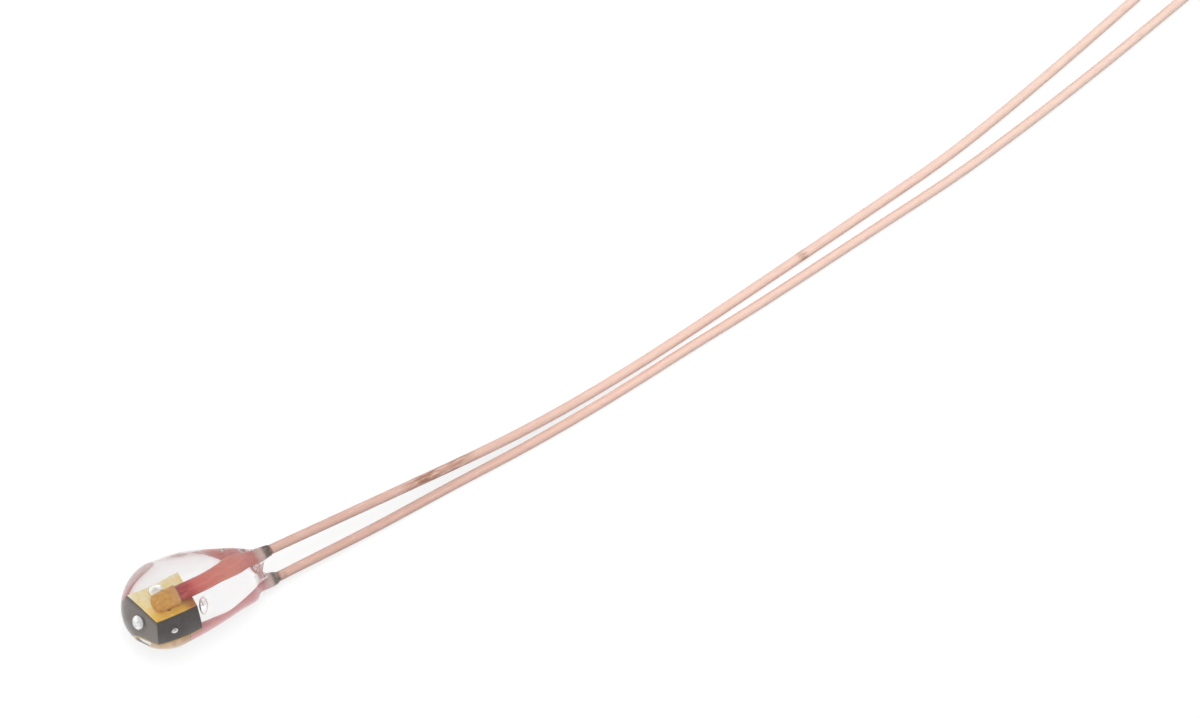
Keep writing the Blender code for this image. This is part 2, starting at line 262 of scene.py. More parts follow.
def drawWire(name, route):
    nothingSelected()
    bpy.ops.curve.primitive_bezier_curve_add()
    wire = bpy.context.object
    wire.name = name
    line = wire.data.splines[0]
    line.bezier_points.add(len(route) - len(line.bezier_points))
    for point, place in zip(line.bezier_points, route):
        point.co = beadMatrix @ (place * mm)
        point.handle_left_type = "AUTO"
        point.handle_right_type = "AUTO"
    wire.data.dimensions = "3D"
    wire.data.resolution_u = wires["pathSteps"]
    wire.data.bevel_depth = wires["diameter"] / 2 * mm
    wire.data.bevel_resolution = wires["sides"] // 2 - 2
    wire.data.use_fill_caps = True
    makeActive(wire)
    bpy.ops.object.convert(target="MESH")
    editAll()
    bpy.ops.mesh.remove_doubles(threshold=wires["join"] * mm)
    bpy.ops.mesh.normals_make_consistent(inside=False)
    pick(bpy.context.object, lambda edge: edge.calc_face_angle(0) > wires["sharpEdge"], "edges")
    bpy.ops.mesh.bevel(offset=wires["burr"] * mm, segments=wires["burrSteps"])
    bpy.ops.object.mode_set(mode="OBJECT")
    bpy.ops.object.shade_smooth()
    return bpy.context.object


upperRoute, lowerRoute = wireRoutes()
upperWire = drawWire("upper_wire", upperRoute)
lowerWire = drawWire("lower_wire", lowerRoute)
for wire, node in ((upperWire, "upper_lead"), (lowerWire, "lower_lead")):
    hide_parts(node)
    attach(wire, "root")
print("wires drawn", len(upperWire.data.vertices), len(lowerWire.data.vertices))


glassDrop = {
    "sides": 48,
    "noseRings": 13,
    "bodyStep": 0.11,
    "rounds": 2,
    "splitAt": 2.70,
    "crotchCuts": 3,
    # a vertex this close to a ring, a section's middle plane or the waist belongs to it
    "ringSlack": 0.02,
    "planeSlack": 0.01,
    "waistSlack": 0.01,
    "waistClear": 0.1,
    # place along the bead, how far the section has parted into a lobe round each wire
    "parted": ((1.2, 0.0), (1.7, 0.2), (2.1, 0.5), (2.45, 0.9), (2.6, 1.0), (2.7, 1.0)),
    "lowerParted": ((1.9, 0.0), (2.3, 0.3), (2.5, 0.8), (2.65, 1.0), (2.7, 1.0)),
    # place along the bead, radius of the lobe round each wire
    "upperLobe": (
        (1.2, 0.735),
        (1.6, 0.61),
        (2.0, 0.49),
        (2.2, 0.40),
        (2.4, 0.300),
        (2.6, 0.205),
        (2.7, 0.184),
    ),
    "lowerLobe": ((1.6, 0.62), (2.0, 0.53), (2.2, 0.46), (2.4, 0.38), (2.6, 0.290), (2.7, 0.250)),
    # place along the bead, half thickness of the web between the lobes
    "web": ((1.6, 0.6), (2.0, 0.52), (2.2, 0.43), (2.4, 0.31), (2.6, 0.18), (2.7, 0.13)),
    # place along the bead and radius of the sleeve that each wire keeps
    "upperSleeve": ((2.78, 0.176), (2.87, 0.168), (2.95, 0.158), (3.00, 0.150), (3.02, 0.138)),
    "lowerSleeve": ((2.80, 0.228), (2.92, 0.208), (3.03, 0.186), (3.12, 0.162), (3.16, 0.140)),
    "firstRounding": 0.6,
    "lipDepth": 0.02,
    "lipShrink": 0.7,
}


def beadSection(place):  # half sizes and centre of the glass, in the rolled frame
    if place < 0:
        share = -place / bead["noseLength"]
        bluntness = bead["noseBluntness"]
        shrink = max(1 - share**bluntness, 0) ** (1 / bluntness)
        centre = rollMatrix.inverted() @ Vector((place, 0, bead["noseRise"] * share * share))
        centre.y -= bead["noseShift"] * share * share
        return bead["headSpread"] * shrink, bead["headFlat"] * shrink, centre
    share = place / bead["neckDistance"]
    spread, flat, sideways, down = (
        smoothThrough([(row[0], row[column]) for row in bead["taper"]], share)
        for column in (1, 2, 3, 4)
    )
    centre = Vector((place, bead["neckShift"] * sideways, -bead["neckDrop"] * down))
    halfSpread = bead["neckSpread"] + (bead["headSpread"] - bead["neckSpread"]) * spread
    halfFlat = bead["neckFlat"] + (bead["headFlat"] - bead["neckFlat"]) * flat
    return halfSpread, halfFlat, rollMatrix.inverted() @ centre


def growRing(last, place):  # pulls the selected cap on to the next section
    lastSpread, lastFlat, lastCentre = last
    spread, flat, centre = beadSection(place)
    move = (centre - lastCentre) * mm
    bpy.ops.mesh.extrude_region_move(TRANSFORM_OT_translate={"value": move})
    bpy.ops.transform.resize(
        value=(1, flat / lastFlat, spread / lastSpread), center_override=centre * mm
    )
    return spread, flat, centre


def alongWire(route, place):  # a wire's axis in the rolled frame, at a place along the bead
    spots = [rollMatrix.inverted() @ point for point in route[: wires["insideStations"] + 1]]
    for a, b in zip(spots, spots[1:]):
        if a.x <= place <= b.x:
            return a.lerp(b, (place - a.x) / (b.x - a.x))
    return spots[-1]


def lobeEnds(place):  # how high and how low the two lobes reach
    top = alongWire(upperRoute, place).z + smoothThrough(glassDrop["upperLobe"], place)
    bottom = alongWire(lowerRoute, place).z - smoothThrough(glassDrop["lowerLobe"], place)
    return top, bottom


def partIntoLobes(drop, place):  # turns an oval ring into a lobe round each wire and a web
    parted, lowerParted, web, upperRadius, lowerRadius = (
        smoothThrough(glassDrop[kind], place)
        for kind in ("parted", "lowerParted", "web", "upperLobe", "lowerLobe")
    )
    if parted == 0:
        return
    spread, flat, centre = beadSection(place)
    upper, lower = alongWire(upperRoute, place), alongWire(lowerRoute, place)
    top, bottom = lobeEnds(place)
    middle = (upper.y + lower.y) / 2
    tool = bmesh.from_edit_mesh(drop.data)
    for vert in tool.verts:
        if abs(vert.co.x / mm - place) > glassDrop["ringSlack"]:
            continue
        across = (vert.co.z / mm - centre.z) / spread  # -1 at the lower lobe, 1 at the upper one
        thick = (vert.co.y / mm - centre.y) / flat
        height = (top + bottom) / 2 + across * (top - bottom) / 2
        # fourth powers blend the web and the two circles without a crease
        swell = web**4 * max(1 - abs(across) ** 6, 0)
        for wireAt, radius in ((upper, upperRadius), (lower, lowerRadius)):
            swell += max(radius**2 - (height - wireAt.z) ** 2, 0) ** 2
        half = 0 if abs(thick) < glassDrop["planeSlack"] else swell**0.25
        lobe = Vector((place, middle + (half if thick > 0 else -half), height))
        share = lowerParted + (parted - lowerParted) * min(max(across + 0.5, 0), 1)
        vert.co = (vert.co / mm).lerp(lobe, share) * mm
    bmesh.update_edit_mesh(drop.data)


def splitNeck(drop):  # parts the cap between the wires and draws a sleeve along each
    place = glassDrop["splitAt"]
    waist = sum(lobeEnds(place)) / 2

    def onCap(vert):
        return abs(vert.co.x / mm - place) < glassDrop["ringSlack"]

    def onWaist(vert):
        return onCap(vert) and abs(vert.co.z / mm - waist) < glassDrop["waistSlack"]

    pick(drop, onWaist)
    bpy.ops.mesh.vert_connect_path()
    pick(drop, lambda edge: all(onWaist(vert) for vert in edge.verts), "edges")
    bpy.ops.mesh.subdivide(number_cuts=glassDrop["crotchCuts"])
    for route, sleeve, side in (
        (upperRoute, glassDrop["upperSleeve"], 1),
        (lowerRoute, glassDrop["lowerSleeve"], -1),
    ):
        pick(
            drop,
            lambda face: all(onCap(vert) for vert in face.verts)
            and side * (face.calc_center_median().z / mm - waist) > glassDrop["waistClear"],
            "faces",
        )
        here = alongWire(route, place)
        for reach, radius in sleeve:
            there = alongWire(route, reach)
            move = (there - here) * mm
            bpy.ops.mesh.extrude_region_move(TRANSFORM_OT_translate={"value": move})
            tool = bmesh.from_edit_mesh(drop.data)
            rounded = glassDrop["firstRounding"] if reach == sleeve[0][0] else 1
            for vert in [v for v in tool.verts if v.select]:
                away = vert.co / mm - there
                away.x = 0
                even = there + away.normalized() * radius
                vert.co = (vert.co / mm).lerp(even, rounded) * mm
            bmesh.update_edit_mesh(drop.data)
            here = there
        dip = Vector((-glassDrop["lipDepth"] * mm, 0, 0))
        shrink = glassDrop["lipShrink"]
        bpy.ops.mesh.extrude_region_move(TRANSFORM_OT_translate={"value": dip})
        bpy.ops.transform.resize(value=(1, shrink, shrink), center_override=here * mm)


def modelGlass():
    turns = [pi / 2 * i / glassDrop["noseRings"] for i in range(1, glassDrop["noseRings"])]
    nose = [-bead["noseLength"] * cos(turn) ** (2 / bead["noseBluntness"]) for turn in turns]
    count = round(glassDrop["splitAt"] / glassDrop["bodyStep"])
    body = [glassDrop["splitAt"] * i / count for i in range(count + 1)]
    last = beadSection(nose[0])
    spread, flat, centre = last
    nothingSelected()
    bpy.ops.mesh.primitive_circle_add(vertices=glassDrop["sides"], radius=mm, fill_type="NGON")
    drop = bpy.context.object
    drop.name = "glass_drop"
    sized = Matrix.LocRotScale(centre * mm, None, (1, flat, spread))
    drop.matrix_world = sized @ Matrix.Rotation(pi / 2, 4, "Y")
    bpy.ops.object.transform_apply(location=True, rotation=True, scale=True)
    editAll()
    for place in nose[1:] + body:
        last = growRing(last, place)
    for place in body:
        partIntoLobes(drop, place)
    splitNeck(drop)
    leaveEdit()
    roundOff(drop, glassDrop["rounds"])
    layInPlace(drop, beadMatrix @ rollMatrix)
    return drop


drop = modelGlass()
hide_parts("glass_bead")
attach(drop, "root")
print("glass drop modelled", len(drop.data.polygons))


paste = {
    "sides": 12,
    "rounds": 2,
    "heightFrom": 0.1,  # place along the bead where the wire's height is read
    # place along the bead and radius of the paste round the wire
    "stations": (
        (-0.168, 0.060),
        (-0.158, 0.112),
        (-0.132, 0.140),
        (-0.080, 0.149),
        (0.020, 0.152),
        (0.120, 0.153),
        (0.200, 0.155),
        (0.264, 0.157),
        (0.278, 0.146),
        (0.274, 0.124),
    ),
    "footFrom": -0.085,
    "footDrop": 0.030,
    "footSpread": 1.12,
    "lumps": 0.0035,
    "upperSeed": 4,
    "lowerSeed": 9,
}


def modelPaste(name, route, side, seed):  # wraps a wire's end and meets the film
    seat = alongWire(route, paste["heightFrom"])
    reach, radius = paste["stations"][0]
    nothingSelected()
    bpy.ops.mesh.primitive_circle_add(
        vertices=paste["sides"],
        radius=radius * mm,
        fill_type="NGON",
        location=(reach * mm, seat.y * mm, seat.z * mm),
        rotation=(0, pi / 2, 0),
    )
    blob = bpy.context.object
    blob.name = name
    bpy.ops.object.transform_apply(location=True, rotation=True, scale=True)
    editAll()
    for nextReach, nextRadius in paste["stations"][1:]:
        move = ((nextReach - reach) * mm, 0, 0)
        grow = nextRadius / radius
        bpy.ops.mesh.extrude_region_move(TRANSFORM_OT_translate={"value": move})
        bpy.ops.transform.resize(
            value=(1, grow, grow), center_override=(nextReach * mm, seat.y * mm, seat.z * mm)
        )
        reach, radius = nextReach, nextRadius
    pick(blob, lambda vert: side * (vert.co.z / mm - seat.z) < paste["footFrom"])
    bpy.ops.transform.translate(value=(0, 0, -side * paste["footDrop"] * mm))
    bpy.ops.transform.resize(value=(1, paste["footSpread"], 1), center_override=seat * mm)
    bpy.ops.mesh.select_all(action="SELECT")
    bpy.ops.transform.vertex_random(offset=paste["lumps"] * mm, seed=seed)
    leaveEdit()
    roundOff(blob, paste["rounds"])
    layInPlace(blob, beadMatrix @ rollMatrix)
    return blob


upperPaste = modelPaste("upper_paste", upperRoute, 1, paste["upperSeed"])
lowerPaste = modelPaste("lower_paste", lowerRoute, -1, paste["lowerSeed"])
for blob, node in ((upperPaste, "upper_bond"), (lowerPaste, "lower_bond")):
    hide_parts(node)
    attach(blob, "root")
print("gold paste modelled")


bubbles = {
    "segments": 24,
    "rings": 16,
    "rounds": 1,
    "unevenness": 0.012,
    "smoothing": 0.5,
    "smoothings": 3,
    # name: middle and half sizes in the rolled frame, tilt in degrees, how misty its wall is
    "places": {
        "bubble_end": ((-0.361, 0.240, -0.386), (0.054, 0.084, 0.120), (0, 0, 0), 0.75),
        "bubble_film": ((0.052, 0.372, -0.060), (0.112, 0.086, 0.066), (0, 0, 0), 0.75),
        "bubble_side": ((0.002, -0.180, -0.425), (0.062, 0.036, 0.048), (0, 0, 0), 0.6),
        "bubble_long": ((0.752, -0.150, -0.190), (0.115, 0.100, 0.225), (12, 12, 0), 0.25),
    },
}


def modelBubble(name, middle, halves, tilt, seed):
    nothingSelected()
    bpy.ops.mesh.primitive_uv_sphere_add(
        segments=bubbles["segments"], ring_count=bubbles["rings"], radius=mm
    )
    bubble = bpy.context.object
    bubble.name = name
    editAll()
    bpy.ops.transform.vertex_random(offset=bubbles["unevenness"] * mm, seed=seed)
    bpy.ops.mesh.vertices_smooth(factor=bubbles["smoothing"], repeat=bubbles["smoothings"])
    leaveEdit()
    roundOff(bubble, bubbles["rounds"])
    tilted = Euler([radians(angle) for angle in tilt])
    shaped = Matrix.LocRotScale(Vector(middle) * mm, tilted, halves)
    layInPlace(bubble, beadMatrix @ rollMatrix @ shaped)
    return bubble


gasBubbles = []
for seed, (name, (middle, halves, tilt, misted)) in enumerate(bubbles["places"].items()):
    bubble = modelBubble(name, middle, halves, tilt, seed)
    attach(bubble, "root")
    gasBubbles.append((bubble, misted))
print("bubbles modelled")


# In the dictionaries of finishes a tone is a red, green and blue of 0 to 255, a noise is its scale,
# detail and roughness, and a ramp is pairs of a place from 0 to 1 and the tone or number there.
white = (255, 255, 255)


def finishFor(piece, name):  # a new node material in the piece's only slot
    finish = bpy.data.materials.new(name)
    finish.use_nodes = True
    piece.data.materials.clear()
    piece.data.materials.append(finish)
    tree = finish.node_tree
    return tree, tree.nodes["Principled BSDF"]


def add(tree, kind, inputs=None, **settings):  # one node with its settings and inputs
    made = tree.nodes.new("ShaderNode" + kind)
    for key, value in settings.items():
        setattr(made, key, value)
    for socket, value in (inputs or {}).items():
        if isinstance(value, bpy.types.NodeSocket):
            tree.links.new(value, made.inputs[socket])
        else:
            made.inputs[socket].default_value = value
    return made


def sRgb(red, green, blue):  # a tone as the linear colour that nodes take
    parts = [c / 255 for c in (red, green, blue)]
    return tuple(c / 12.92 if c < 0.04045 else ((c + 0.055) / 1.055) ** 2.4 for c in parts) + (1,)


def ramp(tree, factor, stops):
    made = add(tree, "ValToRGB", {"Fac": factor})
    band = made.color_ramp
    while len(band.elements) > 1:
        band.elements.remove(band.elements[0])
    for i, (place, tone) in enumerate(stops):
        stop = band.elements[0] if i == 0 else band.elements.new(place)
        stop.position = place
        stop.color = sRgb(*tone) if isinstance(tone, tuple) else (tone, tone, tone, 1)
    return made.outputs["Color"]


def mix(tree, factor, first, second, blend="MIX"):
    first, second = (sRgb(*part) if isinstance(part, tuple) else part for part in (first, second))
    made = add(tree, "Mix", {0: factor, 6: first, 7: second}, data_type="RGBA", blend_type=blend)
    return made.outputs[2]


def shade(tree, colour, pattern, stops):  # darkens a colour by a ramp over a pattern
    return mix(tree, 1.0, colour, ramp(tree, pattern, stops), "MULTIPLY")


def reckon(tree, operation, *values):
    return add(tree, "Math", dict(enumerate(values)), operation=operation).outputs[0]


def times(tree, first, second):
    return reckon(tree, "MULTIPLY", first, second)


def vectors(tree, operation, first, second):
    return add(tree, "VectorMath", {0: first, 1: second}, operation=operation).outputs


def axesOf(tree, vector):
    return add(tree, "SeparateXYZ", {0: vector}).outputs


def noise(tree, where, scale, detail=3, roughness=0.5):
    inputs = {"Vector": where, "Scale": scale, "Detail": detail, "Roughness": roughness}
    return add(tree, "TexNoise", inputs).outputs["Fac"]


def inMillimetres(tree, turn=(0, 0, 0), place=(0, 0, 0)):  # object coordinates in mm
    coordinates = add(tree, "TexCoord").outputs["Object"]
    scale = (1 / mm, 1 / mm, 1 / mm)
    inputs = {"Vector": coordinates, "Location": place, "Rotation": turn, "Scale": scale}
    return add(tree, "Mapping", inputs).outputs[0]


def inRolledFrame(tree):  # for what rolls with the chip
    back = (beadMatrix @ rollMatrix).inverted()
    return inMillimetres(tree, back.to_3x3().to_euler(), back.translation / mm)


def fromChipMiddle(tree):  # the rolled frame, counted from the chip's middle
    middle = rollMatrix.inverted() @ Vector((chip["ahead"], chip["aside"], -chip["drop"]))
    return vectors(tree, "SUBTRACT", inRolledFrame(tree), middle)[0]


def spot(tree, where, centre, radius, soft):  # 1 inside a ball round a point, 0 outside it
    away = vectors(tree, "DISTANCE", where, centre)["Value"]
    inputs = {"Value": away, "From Min": radius, "From Max": radius * (1 - soft)}
    return add(tree, "MapRange", inputs, interpolation_type="SMOOTHSTEP").outputs["Result"]


def span(tree, value, low, high):  # 0 at low, 1 at high
    inputs = {"Value": value, "From Min": low, "From Max": high}
    return add(tree, "MapRange", inputs).outputs["Result"]


def bump(tree, shader, height, strength, distance):
    made = add(tree, "Bump", {"Height": height, "Strength": strength, "Distance": distance * mm})
    tree.links.new(made.outputs["Normal"], shader.inputs["Normal"])


chipLook = {
    "grain": (26, 4, 0.65),
    "body": ((0.3, (54, 48, 47)), (0.52, (66, 60, 59)), (0.75, (79, 72, 70))),
    "sawn": (1.5,),
    "sawnStretch": (3, 40, 3),
    "endDark": (122, 114, 110),
    "endLight": (150, 141, 136),
    "endFrom": (-0.436, -0.449),
    "endWeight": 0.85,
    # painted shade: the chip is painted darker towards its upper film, as under the film's edge
    "paintedFilmShade": (56, 47, 45),
    "paintedFilmShadeFrom": (0.14, 0.25),
    "paintedFilmShadeWeight": 0.62,
    "pores": (44, 2),
    "poresFrom": ((0.28, 0.0), (0.34, 1.0)),
    "pore": (58, 52, 50),
    "roughness": ((0.3, 0.62), (0.7, 0.46)),
    "specular": 0.12,  # it lies in glass, not in air
    "bump": (0.35, 0.01),
}


def paintChip(piece):
    tree, shader = finishFor(piece, "sintered oxide")
    here = fromChipMiddle(tree)
    axes = axesOf(tree, here)
    grain = noise(tree, here, *chipLook["grain"])
    body = ramp(tree, grain, chipLook["body"])
    stretched = vectors(tree, "MULTIPLY", here, chipLook["sawnStretch"])[0]
    sawn = noise(tree, stretched, *chipLook["sawn"])
    endTone = mix(tree, sawn, chipLook["endDark"], chipLook["endLight"])
    onEnd = span(tree, axes["X"], *chipLook["endFrom"])
    body = mix(tree, times(tree, onEnd, chipLook["endWeight"]), body, endTone)
    # painted shade: darker towards the upper film
    paintedFilmShade = span(tree, axes["Z"], *chipLook["paintedFilmShadeFrom"])
    paintedFilmShade = times(tree, paintedFilmShade, chipLook["paintedFilmShadeWeight"])
    body = mix(tree, paintedFilmShade, body, chipLook["paintedFilmShade"])
    pores = ramp(tree, noise(tree, here, *chipLook["pores"]), chipLook["poresFrom"])
    body = mix(tree, pores, chipLook["pore"], body)
    tree.links.new(body, shader.inputs["Base Color"])
    tree.links.new(ramp(tree, grain, chipLook["roughness"]), shader.inputs["Roughness"])
    shader.inputs["Specular IOR Level"].default_value = chipLook["specular"]
    bump(tree, shader, grain, *chipLook["bump"])


gold = {"metallic": 0.15, "specular": 0.2}


def setGold(shader):
    shader.inputs["Metallic"].default_value = gold["metallic"]
    shader.inputs["Specular IOR Level"].default_value = gold["specular"]


filmLook = {
    "slant": 0.12,
    # painted sheen: the gold is painted paler, towards near white, across the film
    "sheenFrom": (-0.32, 0.36),
    "body": (
        (0.0, (226, 176, 56)),
        (0.3, (242, 202, 98)),
        (0.55, (255, 236, 176)),
        (1.0, (255, 248, 220)),
    ),
    "clouds": (9, 4, 0.6),
    "cloudsFrom": ((0.42, 0.0), (0.62, 0.5)),
    "cloud": (250, 216, 108),
    "grain": (38, 5, 0.7),
    "grainDark": ((0.3, 0.86), (0.5, 0.98), (0.75, 1.0)),
    # centre from the chip's middle, radius and softness
    "stainAt": ((0.36, -0.24, 0.27), 0.30, 0.9),
    "stainPatches": ((0.35, 0.55), (0.6, 1.0)),
    "stain": (186, 112, 58),
    "pitAt": ((-0.106, -0.158, 0.265), 0.050, 0.8),
    "pit": (138, 98, 24),
    "rimAside": (0.312, 0.322),
    "rimAhead": (0.437, 0.447),
    "rimWeight": 0.8,
    "rim": (132, 110, 84),
    "roughness": ((0.3, 0.62), (0.7, 0.42)),
    "bump": (0.4, 0.006),
}


def paintFilm(piece, tarnished):  # the upper film is tarnished, the lower one has a dark rim
    tree, shader = finishFor(piece, piece.name + " gold")
    here = fromChipMiddle(tree)
    axes = axesOf(tree, here)
    # painted sheen across the film, from deep gold to near white
    across = reckon(tree, "SUBTRACT", axes["Y"], times(tree, axes["X"], filmLook["slant"]))
    body = ramp(tree, span(tree, across, *filmLook["sheenFrom"]), filmLook["body"])
    clouds = noise(tree, here, *filmLook["clouds"])
    body = mix(tree, ramp(tree, clouds, filmLook["cloudsFrom"]), body, filmLook["cloud"])
    grain = noise(tree, here, *filmLook["grain"])
    body = shade(tree, body, grain, filmLook["grainDark"])
    if tarnished:
        stain = spot(tree, here, *filmLook["stainAt"])
        stain = times(tree, stain, ramp(tree, clouds, filmLook["stainPatches"]))
        body = mix(tree, stain, body, filmLook["stain"])
        body = mix(tree, spot(tree, here, *filmLook["pitAt"]), body, filmLook["pit"])
    else:
        aside = span(tree, reckon(tree, "ABSOLUTE", axes["Y"]), *filmLook["rimAside"])
        ahead = span(tree, reckon(tree, "ABSOLUTE", axes["X"]), *filmLook["rimAhead"])
        rim = times(tree, reckon(tree, "MAXIMUM", aside, ahead), filmLook["rimWeight"])
        body = mix(tree, rim, body, filmLook["rim"])
    tree.links.new(body, shader.inputs["Base Color"])
    tree.links.new(ramp(tree, grain, filmLook["roughness"]), shader.inputs["Roughness"])
    setGold(shader)
    bump(tree, shader, grain, *filmLook["bump"])


pasteLook = {
    "clouds": (13, 4, 0.6),
    "upper": ((0.3, (188, 132, 56)), (0.5, (205, 150, 72)), (0.7, (219, 170, 90))),
    "lower": ((0.3, (214, 172, 122)), (0.5, (226, 190, 148)), (0.7, (238, 208, 170))),
    # places along the bead
    "pinkFrom": (0.12, 0.20),
    "pinkWeight": 0.6,
    "pink": (200, 148, 104),
    # painted shade: a dark band round the paste's end, where the wire leaves it
    "creaseShadeFrom": (0.255, 0.272),
    "rimWeight": 0.75,
    "rim": (120, 76, 48),
    "grain": (45, 4, 0.7),
    "grainDark": ((0.3, 0.85), (0.55, 1.0)),
    "roughness": ((0.3, 0.66), (0.7, 0.48)),
    "bump": (0.45, 0.01),
}


def paintPaste(piece, tones):
    tree, shader = finishFor(piece, piece.name + " fired")
    where = inRolledFrame(tree)
    along = axesOf(tree, where)["X"]
    body = ramp(tree, noise(tree, where, *pasteLook["clouds"]), tones)
    pinker = times(tree, span(tree, along, *pasteLook["pinkFrom"]), pasteLook["pinkWeight"])
    body = mix(tree, pinker, body, pasteLook["pink"])
    # painted shade where the wire leaves the paste
    rim = times(tree, span(tree, along, *pasteLook["creaseShadeFrom"]), pasteLook["rimWeight"])
    body = mix(tree, rim, body, pasteLook["rim"])
    grain = noise(tree, where, *pasteLook["grain"])
    body = shade(tree, body, grain, pasteLook["grainDark"])
    tree.links.new(body, shader.inputs["Base Color"])
    tree.links.new(ramp(tree, grain, pasteLook["roughness"]), shader.inputs["Roughness"])
    setGold(shader)
    bump(tree, shader, grain, *pasteLook["bump"])


glassLook = {
    "refraction": 1.52,
    "film": (1.6, 2),
    "filmRoughness": ((0.4, 0.0), (0.8, 0.02)),
    "waves": (2.2, 2),
    "bump": (0.04, 0.05),
    # the faint pink haze where the neck parts: place along the bead, radius, softness
    "hazeAt": 2.60,
    "hazeRadius": 0.50,
    "hazeSoftness": 0.5,
    "hazeRoughness": 0.34,
    "hazeWeight": 0.75,
    "haze": (234, 194, 185),
    # the bubbles' misty walls
    "mist": (12, 2),
    "mistFrom": (0.38, 0.55),
    "mistLeast": 0.08,
    "mistColour": (0.96, 0.96, 0.97, 1),
}


def paintGlass(piece):
    tree, shader = finishFor(piece, "clear glass")
    where = inMillimetres(tree)
    crotch = alongWire(upperRoute, glassLook["hazeAt"]) + alongWire(lowerRoute, glassLook["hazeAt"])
    crotch = tuple(beadMatrix @ rollMatrix @ (crotch / 2 * mm) / mm)
    haze = spot(tree, where, crotch, glassLook["hazeRadius"], glassLook["hazeSoftness"])
    tint = mix(tree, times(tree, haze, glassLook["hazeWeight"]), white, glassLook["haze"])
    tree.links.new(tint, shader.inputs["Base Color"])
    shader.inputs["Transmission Weight"].default_value = 1.0
    shader.inputs["IOR"].default_value = glassLook["refraction"]
    rough = ramp(tree, noise(tree, where, *glassLook["film"]), glassLook["filmRoughness"])
    rough = reckon(tree, "ADD", rough, times(tree, haze, glassLook["hazeRoughness"]))
    tree.links.new(rough, shader.inputs["Roughness"])
    bump(tree, shader, noise(tree, where, *glassLook["waves"]), *glassLook["bump"])


def paintBubble(piece, misted):
    tree, shader = finishFor(piece, "gas in glass")
    tree.nodes.remove(shader)
    inputs = {"IOR": 1 / glassLook["refraction"], "Roughness": 0.0, "Color": (1, 1, 1, 1)}
    gas = add(tree, "BsdfGlass", inputs).outputs[0]
    mist = add(tree, "BsdfDiffuse", {"Color": glassLook["mistColour"]}).outputs[0]
    thin, thick = glassLook["mistFrom"]
    wisps = noise(tree, inMillimetres(tree), *glassLook["mist"])
    misty = ramp(tree, wisps, ((thin, glassLook["mistLeast"]), (thick, misted)))
    surface = add(tree, "MixShader", {0: misty, 1: gas, 2: mist}).outputs[0]
    tree.links.new(surface, tree.nodes["Material Output"].inputs["Surface"])


crimson = (
    (0.10, (150, 14, 20)),
    (0.20, (170, 28, 34)),
    (0.27, (202, 88, 80)),
    (0.55, (222, 132, 114)),
    (0.82, (214, 124, 116)),
    (0.93, (194, 106, 104)),
)
brown = (150, 100, 72)

wireLook = {
    "attribute": "wireRun",
    "streaks": (4.2, 5, 0.65),
    "streakStretch": (1, 1, 0.5),
    "fineLines": (11, 4, 0.65),
    "lineStretch": (1, 1, 0.25),
    "patches": (2.6, 4, 0.6),
    "wander": 0.16,
    "underside": (-0.3, -0.75),  # the sine of the turn round the wire
    "redStreaks": ((0.46, 0.0), (0.68, 0.26)),
    "redStreak": (238, 168, 150),
    "redLines": ((0.34, 0.20), (0.50, 0.0)),
    "redLine": (160, 70, 68),
    "specks": (34, 3, 0.7),
    "specksDark": ((0.32, 0.84), (0.5, 0.98), (0.68, 1.0)),
    "copperLength": 26,  # how far from the glass the copper goes on getting paler
    "copper": (
        (0.0, (220, 180, 166)),
        (0.14, (226, 186, 172)),
        (0.42, (250, 213, 197)),
        (1.0, (255, 225, 210)),
    ),
    "copperLines": ((0.34, 0.42), (0.5, 0.0)),
    "copperLine": (196, 148, 130),
    # pale streaks along the copper: drawn streaks, partly a painted highlight
    "copperStreakGlints": ((0.52, 0.0), (0.72, 0.62)),
    "copperStreakGlint": (250, 224, 212),
    "stainSoftness": 0.85,
    "stainFrom": (0.38, 0.56),
    "exitSoftness": 0.02,
    "crust": (7, 3, 0.6),
    "crustWander": 0.12,
    "oxide": ((0.3, (70, 56, 49)), (0.5, (106, 88, 78)), (0.72, (158, 140, 129))),
    "collarSoftness": (0.05, 0.04),
    "pale": (222, 204, 194),
    "paleSoftness": (0.10, 0.06),
    "paleWeight": 0.75,
    "metallic": 0.15,
    "roughness": ((0.3, 0.34), (0.7, 0.46)),
    "bumpBlend": 0.5,
    "bump": (0.25, 0.004),
    # the collar and the pale ring start and end this far from where the wire leaves the glass;
    # a stain is how far out it is, its radius, tone and weight
    "upper": {
        "top": crimson,
        "under": crimson,
        "collar": (-0.19, 0.01),
        "paleRing": (-0.42, -0.17),
        "stains": ((4.6, 0.9, brown, 0.8), (5.6, 0.7, brown, 0.6), (16.5, 0.25, brown, 0.9)),
    },
    "lower": {
        "top": ((0.10, (226, 142, 147)), (0.60, (226, 142, 147)), (0.90, (216, 156, 162))),
        # the glass mirrors this side along its upper edge. Near the chip this side is painted pale,
        # near white: painted light for that mirrored band
        "under": (
            (0.20, (248, 222, 222)),
            (0.37, (242, 200, 200)),
            (0.42, (230, 134, 118)),
            (0.60, (230, 124, 108)),
            (0.90, (216, 156, 162)),
        ),
        "collar": (-0.18, 0.05),
        "paleRing": (-0.40, -0.16),
        "stains": ((0.15, 0.18, (96, 76, 66), 1.0),),
    },
}


def insideLength(route):  # how much of a wire's length is in the glass
    inside = route[: wires["insideStations"]]
    return sum((b - a).length for a, b in zip(inside, inside[1:]))


def onWire(route, walked):  # a point on a wire's axis in mm, at a distance walked from the glass
    left = walked
    outside = route[wires["insideStations"] - 1 :]
    for a, b in zip(outside, outside[1:]):
        step = (b - a).length
        if left <= step:
            return tuple((beadMatrix @ (a.lerp(b, left / step) * mm)) / mm)
        left -= step
    return tuple((beadMatrix @ (route[-1] * mm)) / mm)


